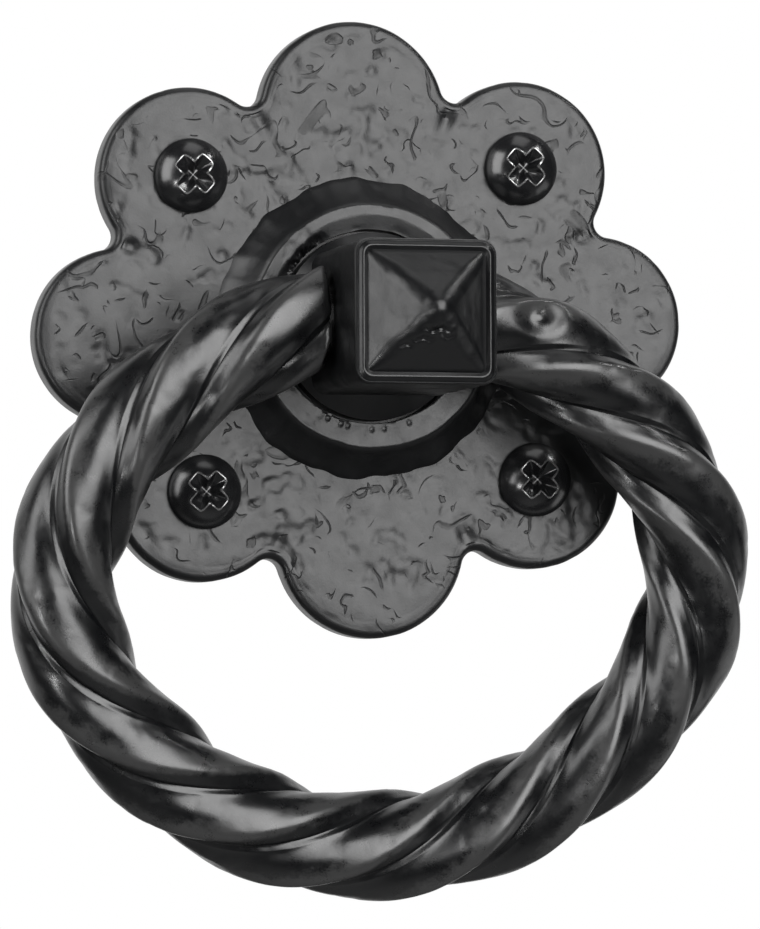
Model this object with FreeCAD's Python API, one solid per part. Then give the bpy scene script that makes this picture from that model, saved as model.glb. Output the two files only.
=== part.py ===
import FreeCAD, Part
import bisect
import math
import os

from FreeCAD import Vector

# Ring pull handle: twisted ring, square boss turning in a lobed rose, four wood screws.
# Millimetres. The back of the rose lies on the plane y = 0, the front faces -Y and +Z is up.
# A height is a distance in front of that plane.

# Rose
rose_half_width = 45.0
rose_half_height = 41.8
notch_half_width = 33.9
notch_half_height = 30.5
lobe_count = 8
rose_thickness = 4.0
notch_rounding = 2.0
rose_edge_rounding = 1.1

# Collar of the rose
collar_base_radius = 20.2
collar_top_radius = 16.5
collar_height = 4.8
collar_wall = 3.5
collar_rounding = 0.6
lip_width = 1.5
lip_drop = 0.45
mouth_depth = 2.9
web_thickness = 2.9

# Boss
pivot_height = 20.9
boss_turn = 2.45
head_width = 19.0
head_ahead = 16.4
head_behind = 7.9
head_corner_rounding = 2.0
head_bevel = 0.8
pyramid_base = 16.4
pyramid_top = 2.6
pyramid_height = 6.8
pyramid_root = 0.5
neck_root = 1.0
neck_step = 0.3
neck_inset = 0.8
shank_radius = 6.0

# Ring
ring_half_width = 43.3
ring_half_height = 35.9
ring_draw_in = 0.031
bar_corner_radius = 7.6
bar_flute_radius = 6.15
bar_corner_sharpness = 1.5
twist_turns = 3.49
twist_start = -4.6
stations_per_turn = 14
points_per_side = 8
path_steps = 720
heading_step = 0.001
ring_overrun = 3.0
ring_pin_radius = 4.5
ring_pin_length = 8.0
ring_pin_root = 2.0

# Screws
screw_spread_x = 46.0
screw_spread_z = 42.4
screw_head_radius = 5.0
screw_head_height = 3.6
screw_head_rim = 0.6
screw_shank_radius = 2.5
screw_thread_radius = 2.2
screw_length = 25.0
screw_point = 5.0
screw_tip_radius = 0.2
recess_span = 5.4
recess_width = 2.0
recess_depth = 2.1

# Washer and clip behind the rose
washer_radius = 11.5
washer_thickness = 1.0
clip_radius = 8.3
clip_thickness = 1.0
clip_groove_depth = 0.4
clip_opening = 52.0
clip_lug_radius = 1.7
clip_lug_hole_radius = 0.75
clip_lug_setback = 12.0
recess_margin = 1.5
shank_beyond_clip = 0.3

# Clearances
running_clearance = 0.05
neck_clearance = 0.35
face_clearance = 0.1
washer_clearance = 0.3
screw_clearance = 0.35
ring_side_clearance = 0.5
door_clearance = 0.3

# How far a cutting tool runs past the face it opens
overrun = 1.0

# Heights that follow from the sizes above
collar_top = rose_thickness + collar_height
mouth_radius = collar_top_radius - collar_wall
neck_radius = mouth_radius - neck_clearance
mouth_floor = collar_top - mouth_depth
recess_roof = mouth_floor - web_thickness
recess_radius = washer_radius + recess_margin
neck_seat = mouth_floor + face_clearance
neck_top_radius = head_width / 2.0 - neck_inset
head_back = pivot_height - head_behind
head_front = pivot_height + head_ahead
washer_top = recess_roof - face_clearance
clip_top = washer_top - washer_thickness - face_clearance
shank_end = clip_top - clip_thickness - shank_beyond_clip

ring_end = head_width / 2.0 + ring_side_clearance

origin = Vector(0, 0, 0)
forward = Vector(0, -1, 0)
turning_axis = Vector(0, 1, 0)


def at(x, height, z):
    return Vector(x, -height, z)


def turned(profile):
    # Solid of revolution about the Y axis from (radius, height) corners.
    corners = [at(radius, height, 0) for radius, height in profile]
    face = Part.Face(Part.makePolygon(corners + corners[:1]))
    return face.revolve(origin, turning_axis, 360)


def rod(radius, low, high, x=0.0, z=0.0):
    # Round bar along the Y axis between two heights.
    return Part.makeCylinder(radius, high - low, at(x, low, z), forward)


def slab(width, low, high):
    # Square block centred on the Y axis between two heights.
    return Part.makeBox(width, high - low, width, at(-width / 2.0, high, -width / 2.0))


def front_edges(shape, height):
    # Edges lying wholly in the plane at this height.
    def level(edge):
        return all(abs(point.y + height) < 1e-4 for point in edge.discretize(5))

    return [edge for edge in shape.Edges if level(edge)]


def on_oval(half_width, half_height, degrees):
    angle = math.radians(degrees)
    return Vector(half_width * math.cos(angle), 0, half_height * math.sin(angle))


def make_rose():
    step = 360.0 / lobe_count
    arcs = []
    for lobe in range(lobe_count):
        start = on_oval(notch_half_width, notch_half_height, (lobe - 0.5) * step)
        tip = on_oval(rose_half_width, rose_half_height, lobe * step)
        end = on_oval(notch_half_width, notch_half_height, (lobe + 0.5) * step)
        arcs.append(Part.Arc(start, tip, end).toShape())
    plate = Part.Face(Part.Wire(arcs)).extrude(forward * rose_thickness)

    in_notches = [edge for edge in plate.Edges if edge.Curve.TypeId == "Part::GeomLine"]
    plate = plate.makeFillet(notch_rounding, in_notches)
    plate = plate.makeFillet(rose_edge_rounding, front_edges(plate, rose_thickness))

    collar = turned([
        (0, 0.5 * rose_thickness),
        (collar_base_radius, 0.5 * rose_thickness),
        (collar_base_radius, rose_thickness),
        (collar_top_radius, collar_top),
        (0, collar_top),
    ])
    collar = collar.makeFillet(collar_rounding, front_edges(collar, collar_top))
    rose = plate.fuse(collar).removeSplitter()
    # The collar's top slopes a little inwards to the mouth.
    lip_radius = collar_top_radius - lip_width
    lip = Part.makeCone(mouth_radius, lip_radius, lip_drop, at(0, collar_top - lip_drop, 0), forward)
    rose = rose.cut(lip)
    rose = rose.cut(rod(mouth_radius, mouth_floor, collar_top + overrun))
    rose = rose.cut(rod(shank_radius + running_clearance, -overrun, collar_top))
    rose = rose.cut(rod(recess_radius, -overrun, recess_roof))
    for x, z in screw_places.values():
        hole_radius = screw_shank_radius + screw_clearance
        rose = rose.cut(rod(hole_radius, -overrun, rose_thickness + overrun, x, z))
    return rose


def make_boss():
    head = slab(head_width, head_back, head_front)
    along = [edge for edge in head.Edges if abs(edge.Length - head_ahead - head_behind) < 1e-4]
    head = head.makeFillet(head_corner_rounding, along)
    head = head.makeChamfer(head_bevel, front_edges(head, head_front))

    def square(width, height):
        half = width / 2.0
        signs = ((-1, -1), (1, -1), (1, 1), (-1, 1), (-1, -1))
        return Part.makePolygon([at(x * half, height, z * half) for x, z in signs])

    base = square(pyramid_base, head_front - pyramid_root)
    rim = square(pyramid_base, head_front)
    top = square(pyramid_top, head_front + pyramid_height)
    point = Part.makeLoft([base, rim, top], True, True)

    # The shank, then the neck, which tapers to the back of the head and runs on into it.
    body = turned([
        (0, shank_end),
        (shank_radius, shank_end),
        (shank_radius, neck_seat),
        (neck_radius, neck_seat),
        (neck_radius, collar_top + neck_step),
        (neck_top_radius, head_back),
        (neck_top_radius, head_back + neck_root),
        (0, head_back + neck_root),
    ])
    groove_low = clip_top - clip_thickness - face_clearance / 2.0
    groove = rod(shank_radius + overrun, groove_low, clip_top + face_clearance / 2.0)
    groove = groove.cut(rod(shank_radius - clip_groove_depth, shank_end, clip_top + overrun))
    cross_hole = Part.makeCylinder(
        ring_pin_radius + running_clearance,
        head_width + 2.0 * overrun,
        at(-head_width / 2.0 - overrun, pivot_height, 0),
        Vector(1, 0, 0),
    )
    boss = body.fuse([head, point]).removeSplitter()
    boss = boss.cut(groove).cut(cross_hole)
    boss.rotate(origin, turning_axis, boss_turn)
    return boss


def bar_radius(angle):
    # Four rounded corners with hollow flutes between them.
    corner = ((1.0 + math.cos(4.0 * angle)) / 2.0) ** bar_corner_sharpness
    return bar_flute_radius + (bar_corner_radius - bar_flute_radius) * corner


def on_ring_oval(angle):
    # The ring's oval about its own centre, from its lowest point, drawn in between the quarter points.
    share = 1.0 - ring_draw_in * math.sin(2.0 * angle) ** 2
    return ring_half_width * share * math.sin(angle), -ring_half_height * share * math.cos(angle)


def ring_angle(x):
    # Where the oval's upper right comes back in to this x, found by halving.
    low, high = 0.75 * math.pi, math.pi
    for halving in range(60):
        middle = (low + high) / 2.0
        if on_ring_oval(middle)[0] > x:
            low = middle
        else:
            high = middle
    return low


def make_ring():
    centre_drop = on_ring_oval(ring_angle(ring_end))[1]

    def path(angle):
        x, z = on_ring_oval(angle)
        return at(x, pivot_height, z - centre_drop)

    def heading(angle):
        return (path(angle + heading_step) - path(angle - heading_step)).normalize()

    # Length along the oval, from just past one end to just past the other.
    past_end = ring_angle(ring_end - ring_overrun)
    angles = [past_end * (2.0 * i / path_steps - 1.0) for i in range(path_steps + 1)]
    travelled = [0.0]
    for before, after in zip(angles, angles[1:]):
        travelled.append(travelled[-1] + (path(after) - path(before)).Length)

    def angle_at(share):
        goal = share * travelled[-1]
        i = min(bisect.bisect_right(travelled, goal), path_steps)
        part = (goal - travelled[i - 1]) / (travelled[i] - travelled[i - 1])
        return angles[i - 1] + part * (angles[i] - angles[i - 1])

    # Points round the bar at even stations, turning left-handed.
    stations = int(twist_turns * stations_per_turn)
    points_round = 4 * points_per_side
    rows = []
    for i in range(stations + 1):
        share = i / stations
        angle = angle_at(share)
        centre = path(angle)
        inward = forward.cross(heading(angle))
        off_middle = share - 0.5
        twist = math.radians(twist_start) - 2.0 * math.pi * twist_turns * off_middle
        row = []
        for k in range(points_round + 1):
            turn = 2.0 * math.pi * k / points_round
            radius = bar_radius(turn)
            sideways = forward * (radius * math.sin(turn + twist))
            row.append(centre + inward * (radius * math.cos(turn + twist)) + sideways)
        rows.append(row)
    surface = Part.BSplineSurface()
    surface.interpolate(rows)
    skin = surface.toShape()
    loops = [edge for edge in skin.Edges if edge.isClosed()]
    caps = [Part.Face(Part.Wire([edge])) for edge in loops]
    shell = Part.Shell([skin] + caps)
    shell.sewShape()
    ring = Part.Solid(shell)
    if ring.Volume < 0:
        ring.reverse()

    # Flat ends beside the boss, each with a pivot pin.
    reach = 2.0 * bar_corner_radius
    gap_corner = at(-ring_end, pivot_height + reach, -reach)
    ring = ring.cut(Part.makeBox(2.0 * ring_end, 2.0 * reach, 2.0 * reach, gap_corner))
    tip = ring_end - ring_side_clearance - ring_pin_length
    pin_length = ring_end + ring_pin_root - tip
    for side in (-1, 1):
        pin_start = at(side * tip, pivot_height, 0)
        ring = ring.fuse(Part.makeCylinder(ring_pin_radius, pin_length, pin_start, Vector(side, 0, 0)))

    # Hung in the boss and leaning back until the bar just clears the door.
    fall = pivot_height - bar_corner_radius - door_clearance
    lean = math.degrees(math.asin(fall / (centre_drop + ring_half_height)))
    ring.rotate(at(0, pivot_height, 0), Vector(1, 0, 0), lean)
    ring.rotate(origin, turning_axis, boss_turn)
    return ring


def make_screw(x, z):
    seat = rose_thickness
    crown = seat + screw_head_height
    cap_height = screw_head_height - screw_head_rim
    dome_radius = (screw_head_radius ** 2 + cap_height ** 2) / (2.0 * cap_height)
    head = rod(screw_head_radius, seat, crown, x, z)
    head = head.common(Part.makeSphere(dome_radius, at(x, crown - dome_radius, z)))
    # A plain shank through the rose, then the threaded length behind it and its point.
    end = seat - screw_length
    shank = rod(screw_shank_radius, 0, seat + screw_head_rim, x, z)
    thread = rod(screw_thread_radius, end + screw_point, 0, x, z)
    tip = Part.makeCone(screw_tip_radius, screw_thread_radius, screw_point, at(x, end, z), forward)
    screw = head.fuse([shank, thread, tip]).removeSplitter()
    for turn in (45, 135):
        corner = at(-recess_span / 2.0, crown + overrun, -recess_width / 2.0)
        slot = Part.makeBox(recess_span, recess_depth + overrun, recess_width, corner)
        slot.rotate(origin, turning_axis, turn)
        slot.translate(Vector(x, 0, z))
        screw = screw.cut(slot)
    return screw


def make_washer():
    low = washer_top - washer_thickness
    hole = rod(shank_radius + washer_clearance, low - overrun, washer_top + overrun)
    return rod(washer_radius, low, washer_top).cut(hole)


def make_clip():
    low = clip_top - clip_thickness
    inner = shank_radius - clip_groove_depth + running_clearance
    clip = rod(clip_radius, low, clip_top)
    lug_circle = clip_radius + clip_lug_radius / 2.0
    lug_turn = math.radians(clip_opening / 2.0 + clip_lug_setback)
    lug_x = lug_circle * math.sin(lug_turn)
    lug_z = -lug_circle * math.cos(lug_turn)
    lugs = [(-lug_x, lug_z), (lug_x, lug_z)]
    for x, z in lugs:
        clip = clip.fuse(rod(clip_lug_radius, low, clip_top, x, z))
    clip = clip.removeSplitter()
    clip = clip.cut(rod(inner, low - overrun, clip_top + overrun))
    reach = clip_radius + 2.0 * clip_lug_radius
    spread = reach * math.tan(math.radians(clip_opening / 2.0))
    centre = at(0, low - overrun, 0)
    wedge = [centre, at(-spread, low - overrun, -reach), at(spread, low - overrun, -reach), centre]
    opening = Part.Face(Part.makePolygon(wedge)).extrude(forward * (clip_thickness + 2.0 * overrun))
    clip = clip.cut(opening)
    for x, z in lugs:
        clip = clip.cut(rod(clip_lug_hole_radius, low - overrun, clip_top + overrun, x, z))
    return clip


screw_places = {
    "screw_upper_left": (-screw_spread_x / 2.0, screw_spread_z / 2.0),
    "screw_upper_right": (screw_spread_x / 2.0, screw_spread_z / 2.0),
    "screw_lower_left": (-screw_spread_x / 2.0, -screw_spread_z / 2.0),
    "screw_lower_right": (screw_spread_x / 2.0, -screw_spread_z / 2.0),
}

pieces = {
    "rose": make_rose(),
    "boss": make_boss(),
    "ring": make_ring(),
    "back_washer": make_washer(),
    "retaining_clip": make_clip(),
}
for name, (x, z) in screw_places.items():
    pieces[name] = make_screw(x, z)

os.makedirs("parts", exist_ok=True)
for name, shape in pieces.items():
    shape.Solids[0].exportStep("parts/" + name + ".step")
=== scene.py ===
import math

import bmesh
import bpy
from mathutils import Matrix, Vector, noise


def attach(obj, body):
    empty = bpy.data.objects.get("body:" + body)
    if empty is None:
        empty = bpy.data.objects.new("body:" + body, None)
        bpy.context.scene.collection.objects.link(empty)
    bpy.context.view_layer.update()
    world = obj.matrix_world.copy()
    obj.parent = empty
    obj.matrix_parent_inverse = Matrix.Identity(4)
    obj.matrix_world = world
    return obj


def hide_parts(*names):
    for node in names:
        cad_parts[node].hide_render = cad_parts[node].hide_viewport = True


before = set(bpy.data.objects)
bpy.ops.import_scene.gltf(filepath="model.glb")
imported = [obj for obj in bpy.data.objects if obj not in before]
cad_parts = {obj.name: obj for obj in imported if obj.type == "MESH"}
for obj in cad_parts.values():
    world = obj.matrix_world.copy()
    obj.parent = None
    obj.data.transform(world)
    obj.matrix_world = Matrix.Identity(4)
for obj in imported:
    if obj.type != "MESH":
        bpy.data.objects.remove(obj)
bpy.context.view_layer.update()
mm = 0.001
fullTurn = 2.0 * math.pi
print("frame loaded")


# Small tools for node trees, materials and skinned rings

def put(tree, kind, ins, out=0, **settings):
    made = tree.nodes.new(kind)
    for key, value in settings.items():
        setattr(made, key, value)
    for key, value in ins.items():
        if isinstance(value, bpy.types.NodeSocket):
            tree.links.new(value, made.inputs[key])
        else:
            made.inputs[key].default_value = value
    return made.outputs[out]


def calc(tree, operation, *values):
    return put(tree, "ShaderNodeMath", dict(enumerate(values)), operation=operation)


def remap(tree, value, low, high, toLow=0.0, toHigh=1.0):
    ins = {"Value": value, 1: low, 2: high, 3: toLow, 4: toHigh}
    return put(tree, "ShaderNodeMapRange", ins, interpolation_type="SMOOTHSTEP")


def mixColour(tree, share, first, second):
    return put(tree, "ShaderNodeMix", {"Factor": share, 6: first, 7: second}, out=2, data_type="RGBA")


def vector(tree, x=0.0, y=0.0, z=0.0):
    return put(tree, "ShaderNodeCombineXYZ", {"X": x, "Y": y, "Z": z})


def scaled(tree, value, size):
    return put(tree, "ShaderNodeVectorMath", {0: value, "Scale": size}, operation="SCALE")


def split(tree, value):
    return put(tree, "ShaderNodeSeparateXYZ", {0: value}).node.outputs


def objectPlace(tree):
    return put(tree, "ShaderNodeTexCoord", {}, out="Object")


def newTree(name, kind, inputs, outputs):
    # Sockets are listed by their kind.
    tree = bpy.data.node_groups.new(name, kind)
    for way, sockets in (("INPUT", inputs), ("OUTPUT", outputs)):
        for socket, labels in sockets.items():
            for label in labels:
                tree.interface.new_socket(label, in_out=way, socket_type="NodeSocket" + socket)
    give = tree.nodes.new("NodeGroupInput").outputs
    take = tree.nodes.new("NodeGroupOutput").inputs
    return tree, give, take


def newGeometryTree(name, inputs):
    return newTree(name, "GeometryNodeTree", inputs, {"Geometry": ["Geometry"]})


def newMaterial(name):
    made = bpy.data.materials.new(name)
    made.use_nodes = True
    return made, made.node_tree, made.node_tree.nodes["Principled BSDF"]


def dress(tree, geometry, give, take):
    # The end of every piece's tree.
    whole = put(tree, "GeometryNodeRealizeInstances", {"Geometry": geometry})
    done = put(tree, "GeometryNodeSetMaterial", {"Geometry": whole, "Material": give["Material"]})
    tree.links.new(done, take["Geometry"])
    return tree


def skinRings(name, rings, relief, wrap, wear=None):
    # Quads between rings of equal count; wrapped into a tube or closed by a point at both ends.
    count = len(rings[0])
    points = [p for ring in rings for p in ring]
    faces = []
    for i in range(len(rings) if wrap else len(rings) - 1):
        a, b = i * count, (i + 1) % len(rings) * count
        for k in range(count):
            n = (k + 1) % count
            faces.append((a + k, a + n, b + n, b + k))
    weights = [w for w in relief for k in range(count)]
    if not wrap:
        for start, flip in ((0, True), ((len(rings) - 1) * count, False)):
            loop = points[start:start + count]
            points.append([sum(p[axis] for p in loop) / count for axis in range(3)])
            weights.append(weights[start])
            tip = len(points) - 1
            for k in range(count):
                n = (k + 1) % count
                faces.append((start + n, start + k, tip) if flip else (start + k, start + n, tip))
    mesh = bpy.data.meshes.new(name)
    mesh.from_pydata(points, [], faces)
    mesh.attributes.new("relief", "FLOAT", "POINT").data.foreach_set("value", weights)
    if wear:
        worn = [w for w in wear for k in range(count)]
        worn += [wear[0], wear[-1]]
        mesh.attributes.new("wear", "FLOAT", "POINT").data.foreach_set("value", worn)
    return addPiece(name, mesh)


def addPiece(name, mesh):
    piece = bpy.data.objects.new(name, mesh)
    bpy.context.scene.collection.objects.link(piece)
    return piece


def grow(piece, tree, values):
    # Runs a geometry tree on a piece and keeps the result as a plain mesh.
    held = piece.modifiers.new("grow", "NODES")
    held.node_group = tree
    for item in tree.interface.items_tree:
        if item.in_out == "INPUT" and item.name in values:
            held[item.identifier] = values[item.name]
    bpy.context.view_layer.update()
    graph = bpy.context.evaluated_depsgraph_get()
    made = bpy.data.meshes.new_from_object(piece.evaluated_get(graph), depsgraph=graph)
    piece.modifiers.clear()
    made.name = piece.name
    piece.data = made


def treeValues(shape, paint):
    # Names with a capital are inputs of the piece's tree.
    return dict({label: value for label, value in shape.items() if label[0].isupper()}, Material=paint)


def tidyMesh(mesh, sharpAngle):
    work = bmesh.new()
    work.from_mesh(mesh)
    bmesh.ops.recalc_face_normals(work, faces=work.faces)
    work.to_mesh(mesh)
    work.free()
    mesh.shade_smooth()
    mesh.set_sharp_from_angle(angle=math.radians(sharpAngle))


# Cast skin: broad and small lumps, always pressed inwards

def castSkinTree(look):
    sizes = ["Lump Size", "Lump Depth", "Dent Size", "Dent Depth", "Seed"]
    tree, give, take = newGeometryTree("castSkin", {"Geometry": ["Geometry"], "Float": sizes})
    place = put(tree, "GeometryNodeInputPosition", {})
    normal = put(tree, "GeometryNodeInputNormal", {})
    relief = put(tree, "GeometryNodeInputNamedAttribute", {"Name": "relief"}, data_type="FLOAT")

    def cloud(size, offset):
        ins = {"Vector": place, "Scale": calc(tree, "DIVIDE", 1.0, size), "Detail": look["detail"]}
        ins["W"] = calc(tree, "ADD", give["Seed"], offset)
        return put(tree, "ShaderNodeTexNoise", ins, noise_dimensions="4D")

    lump = remap(tree, cloud(give["Lump Size"], 0.0), *look["lumpSpan"])
    dent = remap(tree, cloud(give["Dent Size"], look["dentSeed"]), *look["dentSpan"])
    depth = calc(tree, "MULTIPLY", lump, give["Lump Depth"])
    depth = calc(tree, "MULTIPLY_ADD", dent, give["Dent Depth"], depth)
    inward = calc(tree, "MULTIPLY", calc(tree, "MULTIPLY", depth, relief), -1.0)
    ins = {"Geometry": give["Geometry"], "Offset": scaled(tree, normal, inward)}
    tree.links.new(put(tree, "GeometryNodeSetPosition", ins), take["Geometry"])
    return tree


castSkin = castSkinTree({"detail": 1.0, "lumpSpan": (0.25, 0.75), "dentSpan": (0.5, 0.75), "dentSeed": 3.7})


def putSkin(tree, geometry, skin):
    return put(tree, "GeometryNodeGroup", dict(skin, Geometry=geometry), node_tree=castSkin)


def skinnedTree(name, skin):
    # The cast skin alone, for a piece whose mesh is there already.
    tree, give, take = newGeometryTree(name, {"Geometry": ["Geometry"], "Material": ["Material"]})
    return dress(tree, putSkin(tree, give["Geometry"], skin), give, take)


# Paint: groups for the sprayed grain, cast creases with painted shade in them, and wear with painted sheen,
# and a material for each casting

# Most values of a noise lie in this span
cloudSpan = (0.3, 0.7)


def paintGrainTree(look):
    tree, give, take = newTree("paintGrain", "ShaderNodeTree", {"Float": ["Grain Size", "Seed"]},
                               {"Float": ["Height", "Cloud"]})
    ins = {0: objectPlace(tree), 1: give["Seed"]}
    place = put(tree, "ShaderNodeVectorMath", ins, operation="ADD")

    def cloud(size, rough):
        ins = {"Vector": place, "Scale": calc(tree, "DIVIDE", 1.0, size), "Detail": look["detail"]}
        ins["Roughness"] = rough
        return put(tree, "ShaderNodeTexNoise", ins)

    fine = cloud(give["Grain Size"], look["fineRough"])
    broad = cloud(calc(tree, "MULTIPLY", give["Grain Size"], look["broadSize"]), look["broadRough"])
    mottle = calc(tree, "MULTIPLY", fine, 1.0 - look["broadShare"])
    mottle = calc(tree, "MULTIPLY_ADD", broad, look["broadShare"], mottle)
    tree.links.new(calc(tree, "MULTIPLY_ADD", broad, look["broadHeight"], fine), take["Height"])
    tree.links.new(mottle, take["Cloud"])
    return tree


def castCreasesTree(look):
    # Short curled strokes on a plate's front: contour lines of a cloud, shown where a second cloud lets them.
    labels = ["Size", "Width", "Gate", "Thin Out", "Clear", "Front", "Seed"]
    tree, give, take = newTree("castCreases", "ShaderNodeTree", {"Float": labels}, {"Float": ["Mask"]})
    parts = split(tree, objectPlace(tree))
    x, z = parts["X"], parts["Z"]
    place = vector(tree, calc(tree, "ADD", x, give["Seed"]), z)

    def cloud(share, detail):
        size = calc(tree, "MULTIPLY", give["Size"], share)
        ins = {"Vector": place, "Scale": calc(tree, "DIVIDE", 1.0, size), "Detail": detail}
        ins["Distortion"] = look["bend"]
        return put(tree, "ShaderNodeTexNoise", ins, noise_dimensions="2D")

    out = calc(tree, "SQRT", calc(tree, "MULTIPLY_ADD", x, x, calc(tree, "MULTIPLY", z, z)))
    gate = calc(tree, "MULTIPLY_ADD", out, give["Thin Out"], give["Gate"])
    shown = remap(tree, cloud(look["gateSize"], 0.0), gate, calc(tree, "ADD", gate, look["gateFade"]))
    off = calc(tree, "ABSOLUTE", calc(tree, "SUBTRACT", cloud(1.0, 1.0), 0.5))
    width = calc(tree, "MULTIPLY_ADD", give["Width"], shown, look["leastWidth"])
    shown = calc(tree, "MULTIPLY", shown, calc(tree, "GREATER_THAN", out, give["Clear"]))
    shown = calc(tree, "MULTIPLY", shown, calc(tree, "LESS_THAN", parts["Y"], give["Front"]))
    tree.links.new(calc(tree, "MULTIPLY", remap(tree, off, 0.0, width, 1.0, 0.0), shown), take["Mask"])
    return tree


# Lighter paint on edges and ridges: partly rubbed paint, partly a painted highlight where those edges catch
# the light
def paintWearAndSheenTree(look):
    tree, give, take = newTree("paintWear", "ShaderNodeTree", {"Float": ["Edge", "Cloud", "Amount"]},
                               {"Float": ["Mask"]})
    patchy = calc(tree, "MULTIPLY", calc(tree, "SUBTRACT", give["Cloud"], 0.5), look["patches"])
    worn = remap(tree, calc(tree, "ADD", give["Edge"], patchy), *look["wornSpan"])
    tree.links.new(calc(tree, "MULTIPLY", worn, give["Amount"]), take["Mask"])
    return tree


paintGrain = paintGrainTree({"detail": 2.0, "fineRough": 0.65, "broadRough": 0.6, "broadSize": 9.0,
                             "broadShare": 0.6, "broadHeight": 1.6})
castCreases = castCreasesTree({"bend": 0.4, "gateSize": 0.8, "gateFade": 0.16, "leastWidth": 0.001})
paintWear = paintWearAndSheenTree({"patches": 0.9, "wornSpan": (0.62, 0.95)})


def creaseMask(tree, look):
    crease = 0.0
    for size, width, gate in look["creases"]:
        ins = {"Size": size * mm, "Width": width / size, "Gate": gate, "Thin Out": look["thinOut"],
               "Clear": look["clear"] * mm, "Front": -look["front"] * mm, "Seed": look["seed"] + size}
        crease = calc(tree, "MAXIMUM", put(tree, "ShaderNodeGroup", ins, node_tree=castCreases), crease)
    return crease


def paintMaterial(look):
    made, tree, shader = newMaterial(look["name"])
    ins = {"Grain Size": look["grainSize"] * mm, "Seed": look["seed"]}
    grain = put(tree, "ShaderNodeGroup", ins, node_tree=paintGrain).node.outputs
    paint = mixColour(tree, grain["Cloud"], look["paintDark"], look["paintLight"])
    rough = remap(tree, grain["Cloud"], *cloudSpan, look["smooth"], look["rough"])
    bump = put(tree, "ShaderNodeBump", {"Height": grain["Height"], "Distance": look["grainDepth"] * mm})
    # Painted highlight and wear together: the mask lightens the paint on edges, ridges and recess rims
    if "wear" in look:
        edge = put(tree, "ShaderNodeAttribute", {}, out="Fac", attribute_name="wear")
        ins = {"Edge": edge, "Cloud": grain["Cloud"], "Amount": look["wear"]}
        worn = put(tree, "ShaderNodeGroup", ins, node_tree=paintWear)
        paint = mixColour(tree, worn, paint, look["worn"])
        # Where the paint is lightened it also turns to metal: bare metal and painted highlight together
        if "bare" in look:
            tree.links.new(calc(tree, "MULTIPLY", worn, look["bare"]), shader.inputs["Metallic"])
    if "creases" in look:
        crease = creaseMask(tree, look)
        # Painted shade: the strokes darken the paint, as shade in the cast creases would
        paint = mixColour(tree, calc(tree, "MULTIPLY", crease, look["creaseShadeShare"]), paint, look["creasePaintedShade"])
        rough = calc(tree, "MULTIPLY_ADD", crease, look["creaseRough"], rough)
        ins = {"Height": crease, "Distance": look["creaseDepth"] * mm, "Normal": bump}
        bump = put(tree, "ShaderNodeBump", ins, invert=True)
    tree.links.new(paint, shader.inputs["Base Color"])
    tree.links.new(rough, shader.inputs["Roughness"])
    tree.links.new(bump, shader.inputs["Normal"])
    shader.inputs["Specular IOR Level"].default_value = look["shine"]
    return made


# Rose: eight lobes round a raised collar, hammered on the front, flat behind with a recess

rose = {
    "halfWidth": 45.0, "halfHeight": 41.8, "notchHalfWidth": 33.9, "notchHalfHeight": 30.5, "notchRound": 2.0,
    "lobes": 8, "perLobe": 84, "perNotch": 10, "thickness": 4.0, "sides": (0.0, 0.8, 1.7),
    "edge": 1.1, "edgeDrop": 0.22, "edgeSteps": 6, "plateRings": 60,
    "collarBase": 20.2, "collarTop": 16.5, "collarHeight": 4.8, "baseUneven": 0.75, "topUneven": 0.12,
    "flankHollow": 0.25, "flankRings": 12, "shoulder": 0.3, "shoulderDrop": 0.5, "shoulderEase": 0.2,
    "topEase": 0.25, "topRings": 14,
    "lip": 14.1, "lipShift": 1.0, "lipFall": 0.05, "lipDrop": 0.5, "lipUneven": 0.14, "lipRings": 9,
    "mouth": 13.0, "mouthSides": (2.2, 2.5), "mouthDepth": 2.9, "between": 10.0, "bore": 6.05,
    "recess": 13.0, "recessDepth": 3.0, "backShares": (0.15, 0.4, 0.7),
    "pocketDepth": 0.5, "pocketWidth": 0.8, "pocketLength": 4.6,
    "chipAt": 131.0, "chipSpan": 13.0, "chipDepth": 1.4, "chipFrom": 0.3, "chipRise": 3.0, "chipPull": 0.1,
    # mean, then scale and size of each noise in the break
    "chipMean": 0.75, "chipNoise": ((0.8, 0.9), (2.1, 0.6)),
    "pits": (-119.0, -111.0, -107.0, -93.0, -86.0, -71.0), "pitAt": 13.8, "pitRadius": 0.34, "pitDepth": 0.12,
    "skin": {"Lump Size": 9.0 * mm, "Lump Depth": 0.26 * mm,
             "Dent Size": 2.6 * mm, "Dent Depth": 0.20 * mm, "Seed": 2.0},
    # how much of the skin each zone takes
    "press": {"side": 0.15, "edge": 0.25, "border": 0.6, "plate": 1.0, "flank": 0.45, "shoulder": 0.3,
              "top": 0.5, "lip": 0.4, "back": 0.0},
    "borderShare": 0.04, "sharpAngle": 40.0,
}


def onOval(halfWidth, halfHeight, turn):
    return halfWidth * math.cos(turn), halfHeight * math.sin(turn)


def circleThrough(a, b, c):
    ax, ay, bx, by = a[0] - c[0], a[1] - c[1], b[0] - c[0], b[1] - c[1]
    scale = 2.0 * (ax * by - ay * bx)
    sa, sb = ax * ax + ay * ay, bx * bx + by * by
    x, y = (sa * by - sb * ay) / scale, (sb * ax - sa * bx) / scale
    return (c[0] + x, c[1] + y), math.hypot(x, y)


def circleMeet(a, b, small):
    # Centre of the small circle that touches both lobes from outside.
    (ax, ay), ra = a
    (bx, by), rb = b
    da, db = ra + small, rb + small
    gap = math.hypot(bx - ax, by - ay)
    along = (da * da - db * db + gap * gap) / (2.0 * gap)
    off = math.sqrt(da * da - along * along)
    ux, uy = (bx - ax) / gap, (by - ay) / gap
    return ax + ux * along + uy * off, ay + uy * along - ux * off


def notchPoint(shape, number):
    return onOval(shape["notchHalfWidth"], shape["notchHalfHeight"], number * fullTurn / shape["lobes"])


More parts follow.
